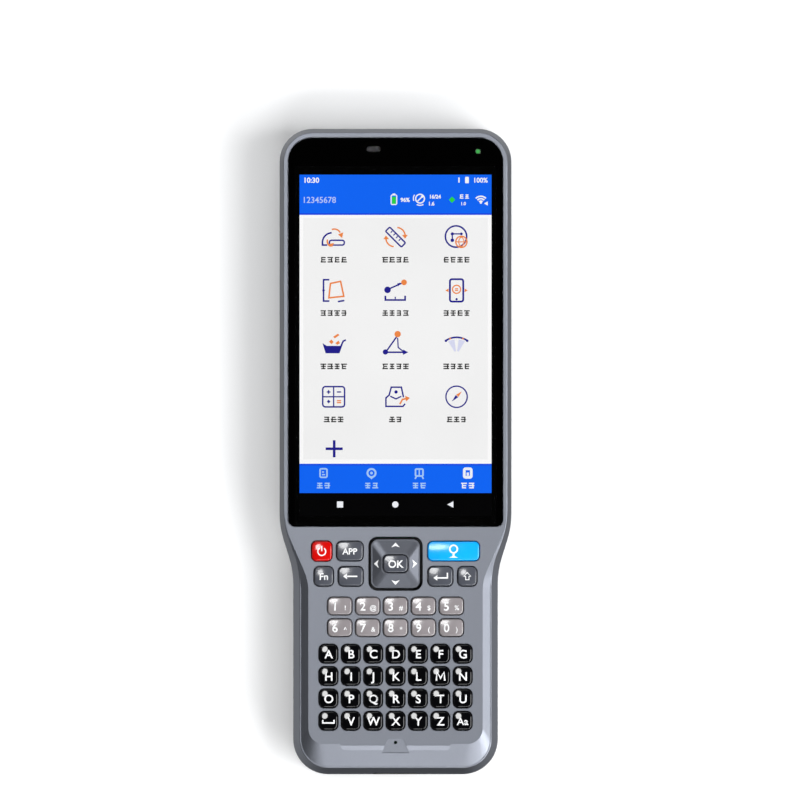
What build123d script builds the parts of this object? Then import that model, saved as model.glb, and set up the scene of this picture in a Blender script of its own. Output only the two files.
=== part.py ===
from build123d import *
import os

# A handheld survey data collector: screen above, keypad below, in a waisted two-part casing.
# The device lies on its back. +X is to the right, +Y towards its top end, +Z out of the screen.
# The origin is the middle of the flat back. All sizes are in millimetres.

# ------------------------------------------------------------------ casing
length = 230.5
screen_width = 82.8
grip_width = 73.05
frame_z = 20.0  # top of the frame beside the screen, level with the keypad panel
ledge_z = 18.0  # top of the casing's wall round the keypad panel
shoulder_z = 13.5  # where the front's sides begin to lean inwards
screen_lean = 1.5  # how far the sides lean in beside the screen, by the height of the frame
grip_lean = 3.4  # how far they lean in round the keypad, over the same height
parting_z = 7.6  # where the two halves meet
wall = 2.4
floor_z = 2.2  # inside of the back
ceiling_z = 16.2  # inside of the front
waist_top_y = -27.0
waist_bottom_y = -42.5
waist_radius = 31.0
top_corner = 11.8
bottom_corner = 12.5
top_edge = 0.3
back_edge = 4.0
parting_chamfer = 0.3
ledge_start_y = -24.0
ledge_end_y = -47.0

# ------------------------------------------------------------------ keypad panel
panel_face_half = 31.1
panel_upper_half = 39.15
panel_bottom_y = -104.3
panel_corner = 5.5
panel_waist_top_y = -27.5
panel_waist_bottom_y = -46.0
panel_waist_radius = 18.0
panel_start_y = -8.0  # hidden below the glass
side_bevel = 2.6
bottom_bevel = 8.1
foot_corner = 9.8
panel_inset = 2.15  # from the casing's side, where the panel would otherwise reach it
panel_overlap = 0.05
panel_thickness = 1.8
panel_under_z = frame_z - panel_thickness
keypad_hollow_half = 31.0
keypad_hollow_top_y = -30.5
keypad_hollow_bottom_y = -101.0

# ------------------------------------------------------------------ glass and display
glass_half = 38.35
glass_top_y = 112.0
glass_bottom_y = -26.8
glass_top_corner = 8.6
glass_bottom_corner = 2.5
glass_thickness = 1.1
glass_z = 19.75
glass_under_z = glass_z - glass_thickness
glass_gap = 0.25
glass_edge = 0.3
display_size = (71.5, 127.5)
display_cell_size = (70.3, 125.1)
display_y = 37.85
display_under_z = 15.9
display_tray_z = 17.3
display_cell_z = 18.35  # a bonding layer fills the rest, up to the glass
display_gap = 0.3
key_hole_bevel = 0.15
led_place = (29.4, 107.1)
led_hole_radius = 1.1
sensor_place = (-7.8, 108.0)
sensor_hole_size = (5.6, 2.6)

# ------------------------------------------------------------------ keys
key_travel = 0.6
key_gap = 0.3
flange_lip = 0.5
flange_top_z = panel_under_z - 0.05
flange_thickness = 0.7
flange_under_z = flange_top_z - flange_thickness
stem_radius = 1.2
key_edge = 0.45
crown_radius = 15.0
wide_crown_radius = 24.0
long_crown_radius = 60.0
square_key_width = 7.2  # wider keys have a flatter crown
long_key_width = 12.0  # longer keys have a barrel's crown
letter_size = 6.4
letter_pitch = 7.98
letter_top_y = -72.1
letter_rise = 0.95
letter_corner = 1.8
number_size = (8.4, 6.0)
number_pitch = (9.95, 7.7)
number_top_y = -55.1
number_rise = 0.9
number_corner = 1.6
command_rise = 1.05
command_corner = 1.7

# ------------------------------------------------------------------ four-way rocker
rocker_y = -40.0
rocker_opening = (19.2, 19.1)
rocker_opening_corner = 3.2
rocker_size = (17.4, 17.3)
rocker_corner = 2.6
rocker_under_z = 17.4
rocker_rim_z = 20.5
rocker_rim_width = 0.5
rocker_peak_z = 21.5
rocker_peak_size = (10.0, 7.5)
ok_size = (8.6, 6.1)
ok_gap = 0.4
ok_top_z = 21.95
ok_corner = 1.7
ok_flange_top_z = 18.7
ok_flange_thickness = 0.6
ok_pocket_z = 19.2
ok_pocket_size = (10.8, 8.3)
rocker_foot_radius = 0.9
rocker_foot_reach = 7.0
rocker_foot_z = 14.9
pivot_size = 11.4
pivot_window = (7.6, 6.4)
pivot_plate_under_z = 16.45
pivot_plate_z = 16.95
pivot_ridge_radius = 0.4
pivot_ridge_length = 1.3

# ------------------------------------------------------------------ boards, mat and battery
board_under_z = 12.9
board_z = 14.1
dome_height = 0.35
dome_base_radius = 1.35
dome_top_radius = 0.9
dome_slack = 0.05
stem_under_z = board_z + dome_height + key_travel + dome_slack
keypad_board_half = 30.6
keypad_board_top_y = -27.5
keypad_board_bottom_y = -105.0
tongue_end_y = -111.85
mat_half = 30.4
mat_top_y = -30.8
mat_bottom_y = -100.5
mat_under_z = 15.2
mat_z = 16.0
mat_wall = 0.75
mat_gap = 0.4
main_board_half = 35.0
main_board_top_y = 103.0
main_board_bottom_y = -24.5
shield_places = [(-14.0, 78.0), (14.0, 78.0), (0.0, 48.0)]
shield_size = (22.0, 18.0)
shield_corner = 1.0
shield_height = 1.4
camera_block = 9.0
camera_block_under_z = 2.5
speaker_block = (14.0, 11.0)
speaker_block_under_z = 2.4
battery_size = (58.0, 92.0)
battery_y = 28.0
battery_z = 9.4
battery_edge = 1.2

# ------------------------------------------------------------------ fasteners, posts and seal
screw_places = [(-34.0, 105.5), (34.0, 105.5), (-37.7, 38.0), (37.7, 38.0)]
screw_places += [(-32.6, -66.0), (32.6, -66.0), (-24.0, -108.6), (24.0, -108.6)]
boss_radius = 1.8
boss_foot_radius = 2.8
boss_foot_height = 1.0
screw_radius = 1.0
screw_gap = 0.05
screw_head_radius = 1.9
screw_head_height = 1.3
screw_seat_z = 1.8
screw_recess_radius = 2.2
screw_tip_z = 12.6
screw_hole_z = 13.6
screw_socket_radius = 0.75
screw_socket_depth = 0.7
board_post_radius = 1.5
main_post_places = [(-32.5, -10.0), (32.5, -10.0), (-32.5, 60.0), (32.5, 60.0)]
keypad_post_places = [(-26.5, -52.0), (26.5, -52.0), (-26.5, -98.0), (26.5, -98.0)]
front_post_radius = 1.0
front_post_places = [(-28.9, -76.0), (28.9, -76.0), (-28.9, -92.0), (28.9, -92.0)]
seal_inset = 0.9
seal_width = 0.8
seal_depth = 0.8
seal_gap = 0.05

# ------------------------------------------------------------------ lower end and back
port_z = 11.3
port_shell_size = (8.9, 3.2)
port_shell_inside = (8.3, 2.6)
port_shell_end_y = -112.55
port_shell_depth = 7.3
port_mount_depth = 1.2
port_slot_size = (9.5, 3.7)
port_slot_depth = 3.4
cover_size = (16.6, 6.0)
cover_corner = 1.6
cover_thickness = 1.1
cover_gap = 0.2
cover_plug_size = (7.4, 2.2)
cover_plug_depth = 0.8
lip_half_top = 20.2
lip_half_bottom = 18.6
lip_start_y = -103.3
lip_slope_y = -104.9
lip_bottom_y = -106.9
lip_drop = 0.67
notch_half_top = 2.9
notch_half_bottom = 4.9
notch_corner = 1.5
notch_length = 5.1
notch_top_y = -102.5
notch_tilt = 12.0  # degrees
mic_y = -103.8
mic_radius = 0.6
camera_place = (-24.0, 94.0)
camera_window_size = (17.0, 9.0)
camera_window_corner = 4.4
camera_window_z = 0.2
camera_window_thickness = 1.1
camera_hole_radius = 2.8
flash_offset = 4.5
speaker_place = (23.0, 94.0)
speaker_slot_size = (12.0, 1.3)
speaker_slot_pitch = 2.6
speaker_slot_count = 4
grip_groove_size = (44.0, 1.6)
grip_groove_pitch = 6.0
grip_groove_count = 10
grip_groove_y = -73.0
grip_groove_depth = 0.6


class Key:
    """One key: its name, the middle of its cap, the cap's size and how far it stands proud."""

    def __init__(self, name, place, size, corner, rise):
        self.name = name
        self.place = place
        self.size = size
        self.corner = corner
        self.rise = rise

    def grown(self, margin):
        """The cap's width, height and corner radius with a margin all round."""
        return self.size[0] + 2 * margin, self.size[1] + 2 * margin, self.corner + margin


def letter_keys():
    """Four rows of seven square keys, with a space key and a case key in the last row."""
    keys = []
    special = {"_": "space_key", "^": "case_key"}
    for row, letters in enumerate(("abcdefg", "hijklmn", "opqrstu", "_vwxyz^")):
        for column, letter in enumerate(letters):
            name = special.get(letter, f"letter_key_{letter}")
            place = ((column - 3) * letter_pitch, letter_top_y - row * letter_pitch)
            keys.append(Key(name, place, (letter_size, letter_size), letter_corner, letter_rise))
    return keys


def number_keys():
    """Two rows of five number keys."""
    keys = []
    for row, digits in enumerate(("12345", "67890")):
        for column, digit in enumerate(digits):
            place = ((column - 2) * number_pitch[0], number_top_y - row * number_pitch[1])
            keys.append(Key(f"number_key_{digit}", place, number_size, number_corner, number_rise))
    return keys


def command_keys():
    """The keys either side of the rocker."""
    upper_y, lower_y = -35.5, -44.5
    rows = [
        ("power_key", (-26.3, upper_y), (7.0, 6.9)),
        ("app_key", (-16.3, upper_y), (9.2, 6.7)),
        ("fn_key", (-25.6, lower_y), (6.6, 6.7)),
        ("backspace_key", (-16.0, lower_y), (8.6, 6.7)),
        ("measure_key", (20.7, upper_y), (18.2, 6.7)),
        ("enter_key", (16.0, lower_y), (8.6, 6.7)),
        ("shift_key", (25.6, lower_y), (6.6, 6.7)),
    ]
    return [Key(name, place, size, command_corner, command_rise) for name, place, size in rows]


plain_keys = command_keys() + number_keys() + letter_keys()
rocker_feet = [(rocker_foot_reach, 0), (-rocker_foot_reach, 0)]
rocker_feet += [(0, rocker_foot_reach), (0, -rocker_foot_reach)]


def mirrored(right_side):
    """A closed outline, anticlockwise, from the points of its right side, top to bottom."""
    return [(-x, y) for x, y in right_side] + right_side[::-1]


def rounded_outline(right_side, radii):
    """A face with its right side's points and corner radii, and the same on the left."""
    with BuildSketch() as outline:
        with BuildLine():
            FilletPolyline(*mirrored(right_side), radius=radii + radii[::-1], close=True)
        make_face()
    return outline.sketch


def casing_outline(inset=0.0):
    """The casing seen from the front, moved in by inset."""
    right_side = [
        (screen_width / 2, length / 2),
        (screen_width / 2, waist_top_y),
        (grip_width / 2, waist_bottom_y),
        (grip_width / 2, -length / 2),
    ]
    whole = rounded_outline(right_side, [top_corner, waist_radius, waist_radius, bottom_corner])
    with BuildSketch() as outline:
        add(whole)
        if inset > 0:
            offset(amount=-inset)
    return outline.sketch


def leaning_outline(height):
    """The casing at a height, where its sides lean in less at the screen than at the keypad."""
    share = (height - shoulder_z) / (frame_z - shoulder_z)
    screen_inset = screen_lean * share
    grip_inset = grip_lean * share
    right_side = [
        (screen_width / 2 - screen_inset, length / 2 - screen_inset),
        (screen_width / 2 - screen_inset, waist_top_y),
        (grip_width / 2 - grip_inset, waist_bottom_y),
        (grip_width / 2 - grip_inset, grip_inset - length / 2),
    ]
    radii = [top_corner - screen_inset, waist_radius, waist_radius, bottom_corner - grip_inset]
    return rounded_outline(right_side, radii)


def panel_outline(depth):
    """The keypad panel at a depth below its face, where its bevels have spread outwards."""
    spread = depth / (frame_z - ledge_z)
    side = side_bevel * spread
    corner = panel_corner + (foot_corner - panel_corner) * spread
    right_side = [
        (panel_upper_half + side, panel_start_y),
        (panel_upper_half + side, panel_waist_top_y),
        (panel_face_half + side, panel_waist_bottom_y),
        (panel_face_half + side, panel_bottom_y - bottom_bevel * spread),
    ]
    return rounded_outline(right_side, [0, panel_waist_radius, panel_waist_radius, corner])


def glass_outline(margin=0.0):
    """The cover glass seen from the front, grown by a margin."""
    edge_x = glass_half + margin
    right_side = [(edge_x, glass_top_y + margin), (edge_x, glass_bottom_y - margin)]
    return rounded_outline(right_side, [glass_top_corner + margin, glass_bottom_corner + margin])


def finish(piece, name):
    """Label a finished piece and write it to its own file."""
    piece.label = name
    export_step(piece, f"parts/{name}.step")


# ------------------------------------------------------------------ front housing
# The keypad panel stays level with the frame, and bevels down to the ledge.
with BuildPart() as panel:
    panel_depth = frame_z - ledge_z + panel_overlap
    for depth in (0.0, panel_depth):
        with BuildSketch(Plane.XY.offset(frame_z - depth)):
            add(panel_outline(depth))
    loft(ruled=True)
    with BuildSketch(Plane.XY.offset(frame_z - panel_depth)):
        add(casing_outline(panel_inset))
    extrude(amount=panel_depth, mode=Mode.INTERSECT)

# A lip along the panel's lower edge slopes down until it meets the bevel.
with BuildPart() as lip:
    with BuildSketch(Plane.XY.offset(ledge_z)):
        with BuildLine():
            Polyline(
                (lip_half_top, lip_start_y),
                (-lip_half_top, lip_start_y),
                (-lip_half_bottom, lip_bottom_y),
                (lip_half_bottom, lip_bottom_y),
                close=True,
            )
        make_face()
    extrude(amount=frame_z - ledge_z)
    with BuildSketch(Plane.YZ):
        with BuildLine():
            Polyline(
                (lip_start_y, ledge_z),
                (lip_bottom_y, ledge_z),
                (lip_bottom_y, frame_z - lip_drop),
                (lip_slope_y, frame_z),
                (lip_start_y, frame_z),
                close=True,
            )
        make_face()
    extrude(amount=lip_half_top, both=True, mode=Mode.INTERSECT)

with BuildPart() as front_housing:
    with BuildSketch(Plane.XY.offset(parting_z)):
        add(casing_outline())
    extrude(amount=shoulder_z - parting_z)
    for level in (shoulder_z, frame_z):
        with BuildSketch(Plane.XY.offset(level)):
            add(leaning_outline(level))
    loft(ruled=True)

    # Seen from the side, the frame falls away below the screen to a ledge round the panel.
    with BuildSketch(Plane.YZ):
        with BuildLine():
            Polyline(
                (length / 2 + wall, frame_z),
                (ledge_start_y, frame_z),
                (ledge_end_y, ledge_z),
                (-length / 2 - wall, ledge_z),
                (-length / 2 - wall, 0),
                (length / 2 + wall, 0),
                close=True,
            )
        make_face()
    extrude(amount=screen_width, both=True, mode=Mode.INTERSECT)

    top_edges = front_housing.edges().filter_by(lambda edge: edge.center().Z > ledge_z - top_edge)
    outer_edges = top_edges.filter_by(
        lambda edge: abs(edge.center().X) > wall or abs(edge.center().Y) > length / 2 - wall
    )
    fillet(outer_edges, top_edge)

    add(panel.part)
    add(lip.part)

    # Hollow inside, with a thinner roof under the keypad.
    with BuildSketch(Plane.XY.offset(parting_z)):
        add(casing_outline(wall))
    extrude(amount=ceiling_z - parting_z, mode=Mode.SUBTRACT)
    hollow_height = keypad_hollow_top_y - keypad_hollow_bottom_y
    with BuildSketch(Plane.XY.offset(ceiling_z)):
        with Locations((0, (keypad_hollow_top_y + keypad_hollow_bottom_y) / 2)):
            Rectangle(2 * keypad_hollow_half, hollow_height)
    extrude(amount=panel_under_z - ceiling_z, mode=Mode.SUBTRACT)

    # Glass pocket, display opening, light hole and sensor hole.
    with BuildSketch(Plane.XY.offset(glass_under_z)):
        add(glass_outline(glass_gap))
    extrude(amount=frame_z, mode=Mode.SUBTRACT)
    with BuildSketch(Plane.XY.offset(ceiling_z)):
        with Locations((0, display_y)):
            Rectangle(display_size[0] + 2 * display_gap, display_size[1] + 2 * display_gap)
        with Locations(led_place):
            Circle(led_hole_radius)
        with Locations(sensor_place):
            SlotOverall(*sensor_hole_size)
    extrude(amount=glass_under_z - ceiling_z, mode=Mode.SUBTRACT)

    # Holes for the keys and the rocker.
    with BuildSketch(Plane.XY.offset(panel_under_z)):
        for key in plain_keys:
            with Locations(key.place):
                RectangleRounded(*key.grown(key_gap))
        with Locations((0, rocker_y)):
            RectangleRounded(*rocker_opening, rocker_opening_corner)
    extrude(amount=panel_thickness, mode=Mode.SUBTRACT)
    with BuildSketch(Plane.XY.offset(frame_z)):
        for key in plain_keys:
            with Locations(key.place):
                RectangleRounded(*key.grown(key_gap + key_hole_bevel))
        with Locations((0, rocker_y)):
            RectangleRounded(
                rocker_opening[0] + 2 * key_hole_bevel,
                rocker_opening[1] + 2 * key_hole_bevel,
                rocker_opening_corner + key_hole_bevel,
            )
    extrude(amount=-key_hole_bevel, taper=45, mode=Mode.SUBTRACT)

    # Microphone notch, with a floor that slopes down to the bevel, and its hole.
    with BuildSketch(Plane((0, notch_top_y, frame_z)).rotated((notch_tilt, 0, 0))):
        with BuildLine():
            FilletPolyline(
                (notch_half_bottom, -notch_length),
                (notch_half_top, 0),
                (-notch_half_top, 0),
                (-notch_half_bottom, -notch_length),
                radius=notch_corner,
            )
            Line((-notch_half_bottom, -notch_length), (notch_half_bottom, -notch_length))
        make_face()
    extrude(amount=frame_z - ledge_z, mode=Mode.SUBTRACT)
    with BuildSketch(Plane.XY.offset(ceiling_z)):
        with Locations((0, mic_y)):
            Circle(mic_radius)
    extrude(amount=frame_z - ceiling_z, mode=Mode.SUBTRACT)

    # Screw bosses against the walls, and posts that hold the keypad board down.
    with BuildSketch(Plane.XY.offset(parting_z)):
        with Locations(screw_places):
            Circle(boss_radius)
    extrude(amount=ceiling_z - parting_z)
    with BuildSketch(Plane.XY.offset(board_z)):
        with Locations(front_post_places):
            Circle(front_post_radius)
    extrude(amount=panel_under_z - board_z)
    with BuildSketch(Plane.XY.offset(parting_z)):
        with Locations(screw_places):
            Circle(screw_radius + screw_gap)
    extrude(amount=screw_hole_z - parting_z, mode=Mode.SUBTRACT)

    # Recess for the port cover in the lower end, with the socket's slot behind it.
    with BuildSketch(Plane.XZ.offset(length / 2)):
        with Locations((0, port_z)):
            RectangleRounded(
                cover_size[0] + 2 * cover_gap,
                cover_size[1] + 2 * cover_gap,
                cover_corner + cover_gap,
            )
    extrude(amount=-cover_thickness, mode=Mode.SUBTRACT)
    with BuildSketch(Plane.XZ.offset(length / 2)):
        with Locations((0, port_z)):
            SlotOverall(*port_slot_size)
    extrude(amount=-port_slot_depth, mode=Mode.SUBTRACT)

    parting_edges = front_housing.faces().sort_by(Axis.Z)[0].outer_wire().edges()
    chamfer(parting_edges, parting_chamfer)
finish(front_housing.part, "front_housing")

# ------------------------------------------------------------------ rear housing
with BuildPart() as rear_housing:
    with BuildSketch():
        add(casing_outline())
    extrude(amount=parting_z)
    fillet(rear_housing.faces().sort_by(Axis.Z)[0].edges(), back_edge)
    chamfer(rear_housing.faces().sort_by(Axis.Z)[-1].edges(), parting_chamfer)
    with BuildSketch(Plane.XY.offset(floor_z)):
        add(casing_outline(wall))
    extrude(amount=parting_z - floor_z, mode=Mode.SUBTRACT)

    # The corner between the floor and the wall is filled, because the back edge is rounded.
    inner_floor = rear_housing.faces().filter_by(Axis.Z).filter_by_position(Axis.Z, floor_z, floor_z)
    chamfer(inner_floor.sort_by(SortBy.AREA)[-1].outer_wire().edges(), back_edge / 2)

    with BuildSketch(Plane.XY.offset(floor_z)):
        with Locations(screw_places):
            Circle(boss_foot_radius)
    extrude(amount=boss_foot_height)
    with BuildSketch(Plane.XY.offset(floor_z)):
        with Locations(screw_places):
            Circle(boss_radius)
    extrude(amount=parting_z - floor_z)
    with BuildSketch(Plane.XY.offset(floor_z)):
        with Locations(main_post_places + keypad_post_places):
            Circle(board_post_radius)
    extrude(amount=board_under_z - floor_z)

    # Groove for the seal.
    with BuildSketch(Plane.XY.offset(parting_z)):
        add(casing_outline(seal_inset - seal_gap))
        add(casing_outline(seal_inset + seal_width + seal_gap), mode=Mode.SUBTRACT)
    extrude(amount=-seal_depth, mode=Mode.SUBTRACT)

    with BuildSketch():
        with Locations(screw_places):
            Circle(screw_recess_radius)
    extrude(amount=screw_seat_z, mode=Mode.SUBTRACT)
    with BuildSketch():
        with Locations(screw_places):
            Circle(screw_radius + screw_gap)
    extrude(amount=parting_z, mode=Mode.SUBTRACT)

    # Camera window recess and hole, loudspeaker slots, grip grooves.
    with BuildSketch():
        with Locations(camera_place):
            RectangleRounded(*camera_window_size, camera_window_corner)
    extrude(amount=camera_window_z + camera_window_thickness, mode=Mode.SUBTRACT)
    with BuildSketch():
        with Locations((camera_place[0] - flash_offset, camera_place[1])):
            Circle(camera_hole_radius)
        with Locations((camera_place[0] + flash_offset, camera_place[1])):
            Circle(camera_hole_radius / 2)
        with Locations(speaker_place):
            with GridLocations(0, speaker_slot_pitch, 1, speaker_slot_count):
                SlotOverall(*speaker_slot_size)
    extrude(amount=floor_z, mode=Mode.SUBTRACT)
    with BuildSketch():
        with Locations((0, grip_groove_y)):
            with GridLocations(0, grip_groove_pitch, 1, grip_groove_count):
                SlotOverall(*grip_groove_size)
    extrude(amount=grip_groove_depth, mode=Mode.SUBTRACT)
finish(rear_housing.part, "rear_housing")

# ------------------------------------------------------------------ seal between the halves
with BuildPart() as housing_seal:
    with BuildSketch(Plane.XY.offset(parting_z)):
        add(casing_outline(seal_inset))
        add(casing_outline(seal_inset + seal_width), mode=Mode.SUBTRACT)
    extrude(amount=-seal_depth)
finish(housing_seal.part, "housing_seal")

# ------------------------------------------------------------------ screws
with BuildPart() as housing_screws:
    with BuildSketch(Plane.XY.offset(screw_seat_z)):
        with Locations(screw_places):
            Circle(screw_head_radius)
    extrude(amount=-screw_head_height)
    with BuildSketch(Plane.XY.offset(screw_seat_z)):
        with Locations(screw_places):
            Circle(screw_radius)
    extrude(amount=screw_tip_z - screw_seat_z)
    with BuildSketch(Plane.XY.offset(screw_seat_z - screw_head_height)):
        with Locations(screw_places):
            RegularPolygon(screw_socket_radius, 6)
    extrude(amount=screw_socket_depth, mode=Mode.SUBTRACT)
finish(housing_screws.part, "housing_screws")

# ------------------------------------------------------------------ glass
with BuildPart() as touch_glass:
    with BuildSketch(Plane.XY.offset(glass_under_z)):
        add(glass_outline())
    extrude(amount=glass_thickness)
    chamfer(touch_glass.faces().sort_by(Axis.Z)[-1].edges(), glass_edge)
finish(touch_glass.part, "touch_glass")

# ------------------------------------------------------------------ display module
with BuildPart() as display_module:
    with BuildSketch(Plane.XY.offset(display_under_z)):
        with Locations((0, display_y)):
            Rectangle(*display_size)
    extrude(amount=display_tray_z - display_under_z)
    with BuildSketch(Plane.XY.offset(display_tray_z)):
        with Locations((0, display_y)):
            Rectangle(*display_cell_size)
    extrude(amount=display_cell_z - display_tray_z)
finish(display_module.part, "display_module")

# ------------------------------------------------------------------ main board
with BuildPart() as main_board:
    with BuildSketch(Plane.XY.offset(board_under_z)):
        with Locations((0, (main_board_top_y + main_board_bottom_y) / 2)):
            Rectangle(2 * main_board_half, main_board_top_y - main_board_bottom_y)
    extrude(amount=board_z - board_under_z)
    with BuildSketch(Plane.XY.offset(board_z)):
        with Locations(shield_places):
            RectangleRounded(*shield_size, shield_corner)
    extrude(amount=shield_height)
    with BuildSketch(Plane.XY.offset(board_under_z)):
        with Locations((camera_place[0] - flash_offset, camera_place[1])):
            Rectangle(camera_block, camera_block)
    extrude(amount=-(board_under_z - camera_block_under_z))
    with BuildSketch(Plane.XY.offset(board_under_z)):
        with Locations(speaker_place):
            Rectangle(*speaker_block)
    extrude(amount=-(board_under_z - speaker_block_under_z))
finish(main_board.part, "main_board")

# ------------------------------------------------------------------ keypad board
with BuildPart() as keypad_board:
    board_height = keypad_board_top_y - keypad_board_bottom_y
    tongue_height = keypad_board_bottom_y - tongue_end_y
    with BuildSketch(Plane.XY.offset(board_under_z)):
        with Locations((0, (keypad_board_top_y + keypad_board_bottom_y) / 2)):
            Rectangle(2 * keypad_board_half, board_height)
        with Locations((0, keypad_board_bottom_y - tongue_height / 2)):
            Rectangle(2 * port_shell_size[0], tongue_height)
    extrude(amount=board_z - board_under_z)
    dome_places = [key.place for key in plain_keys] + [(0, rocker_y)]
    dome_places += [(x, y + rocker_y) for x, y in rocker_feet]
    with Locations([(x, y, board_z) for x, y in dome_places]):
        Cone(
            dome_base_radius,
            dome_top_radius,
            dome_height,
            align=(Align.CENTER, Align.CENTER, Align.MIN),
        )
    with BuildSketch(Plane.XZ.offset(-port_shell_end_y)):
        with Locations((0, port_z)):
            SlotOverall(*port_shell_size)
        with Locations((0, port_z)):
            SlotOverall(*port_shell_inside, mode=Mode.SUBTRACT)
        with Locations((0, port_z)):
            Rectangle(port_shell_size[0] / 2, port_shell_size[1] / 4)
    extrude(amount=-port_shell_depth)
    with BuildSketch(Plane.XZ.offset(-port_shell_end_y - port_shell_depth)):
        with Locations((0, port_z + port_shell_size[1] / 4)):
            Rectangle(port_shell_size[0], port_shell_size[1] / 2)
    extrude(amount=-port_mount_depth)
finish(keypad_board.part, "keypad_board")

# ------------------------------------------------------------------ keypad mat
with BuildPart() as keypad_mat:
    mat_middle_y = (mat_top_y + mat_bottom_y) / 2
    mat_height = mat_top_y - mat_bottom_y
    with BuildSketch(Plane.XY.offset(board_z)):
        with Locations((0, mat_middle_y)):
            Rectangle(2 * mat_half, mat_height)
            Rectangle(2 * (mat_half - mat_wall), mat_height - 2 * mat_wall, mode=Mode.SUBTRACT)
    extrude(amount=mat_under_z - board_z)
    with BuildSketch(Plane.XY.offset(mat_under_z)):
        with Locations((0, mat_middle_y)):
            Rectangle(2 * mat_half, mat_height)
        with Locations([key.place for key in plain_keys] + [(0, rocker_y)]):
            Circle(stem_radius + mat_gap, mode=Mode.SUBTRACT)
        with Locations([(x, y + rocker_y) for x, y in rocker_feet]):
            Circle(rocker_foot_radius + mat_gap, mode=Mode.SUBTRACT)
        with Locations(front_post_places):
            Circle(front_post_radius + seal_gap, mode=Mode.SUBTRACT)
    extrude(amount=mat_z - mat_under_z)
    with BuildSketch(Plane.XY.offset(board_z)):
        with Locations(front_post_places):
            Circle(front_post_radius + seal_gap)
    extrude(amount=mat_z - board_z, mode=Mode.SUBTRACT)
finish(keypad_mat.part, "keypad_mat")

# ------------------------------------------------------------------ battery pack
with BuildPart() as battery_pack:
    with BuildSketch(Plane.XY.offset(floor_z)):
        with Locations((0, battery_y)):
            Rectangle(*battery_size)
    extrude(amount=battery_z - floor_z)
    fillet(battery_pack.edges().filter_by(Axis.Y), battery_edge)
finish(battery_pack.part, "battery_pack")

# ------------------------------------------------------------------ port cover
with BuildPart() as port_cover:
    with BuildSketch(Plane.XZ.offset(length / 2)):
        with Locations((0, port_z)):
            RectangleRounded(*cover_size, cover_corner)
    extrude(amount=-cover_thickness)
    with BuildSketch(Plane.XZ.offset(length / 2 - cover_thickness)):
        with Locations((0, port_z)):
            SlotOverall(*cover_plug_size)
    extrude(amount=-cover_plug_depth)
finish(port_cover.part, "port_cover")

# ------------------------------------------------------------------ camera window
with BuildPart() as camera_window:
    with BuildSketch(Plane.XY.offset(camera_window_z)):
        with Locations(camera_place):
            RectangleRounded(
                camera_window_size[0] - 2 * seal_gap,
                camera_window_size[1] - 2 * seal_gap,
                camera_window_corner - seal_gap,
            )
    extrude(amount=camera_window_thickness)
finish(camera_window.part, "camera_window")


# ------------------------------------------------------------------ keys
def make_key(key):
    """A crowned cap over a retaining flange, with a stem that presses the dome below."""
    cap_z = frame_z + key.rise
    crown = crown_radius if key.size[0] < square_key_width else wide_crown_radius
    with BuildPart() as piece:
        with BuildSketch(Plane.XY.offset(flange_top_z)):
            with Locations(key.place):
                RectangleRounded(*key.size, key.corner)
        extrude(amount=cap_z - flange_top_z)
        if key.size[0] > long_key_width:
            with Locations((*key.place, cap_z - long_crown_radius)):
                Torus(
                    long_crown_radius - crown_radius,
                    crown_radius,
                    rotation=(90, 0, 0),
                    mode=Mode.INTERSECT,
                )
        else:
            with Locations((*key.place, cap_z - crown)):
                Sphere(crown, mode=Mode.INTERSECT)
        fillet(piece.faces().sort_by(Axis.Z)[-1].edges(), key_edge)
        with BuildSketch(Plane.XY.offset(flange_top_z)):
            with Locations(key.place):
                RectangleRounded(*key.grown(flange_lip))
        extrude(amount=-flange_thickness)
        with BuildSketch(Plane.XY.offset(flange_under_z)):
            with Locations(key.place):
                Circle(stem_radius)
        extrude(amount=stem_under_z - flange_under_z)
    finish(piece.part, key.name)


for key in plain_keys:
    make_key(key)

# ------------------------------------------------------------------ OK key
with BuildPart() as ok_key:
    with BuildSketch(Plane.XY.offset(ok_flange_top_z)):
        with Locations((0, rocker_y)):
            RectangleRounded(*ok_size, ok_corner)
    extrude(amount=ok_top_z - ok_flange_top_z)
    with Locations((0, rocker_y, ok_top_z - wide_crown_radius)):
        Sphere(wide_crown_radius, mode=Mode.INTERSECT)
    fillet(ok_key.faces().sort_by(Axis.Z)[-1].edges(), key_edge)
    with BuildSketch(Plane.XY.offset(ok_flange_top_z)):
        with Locations((0, rocker_y)):
            RectangleRounded(ok_size[0] + 2 * flange_lip, ok_size[1] + 2 * flange_lip, ok_corner)
    extrude(amount=-ok_flange_thickness)
    with BuildSketch(Plane.XY.offset(ok_flange_top_z - ok_flange_thickness)):
        with Locations((0, rocker_y)):
            Circle(stem_radius)
    extrude(amount=stem_under_z - ok_flange_top_z + ok_flange_thickness)
finish(ok_key.part, "ok_key")

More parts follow.
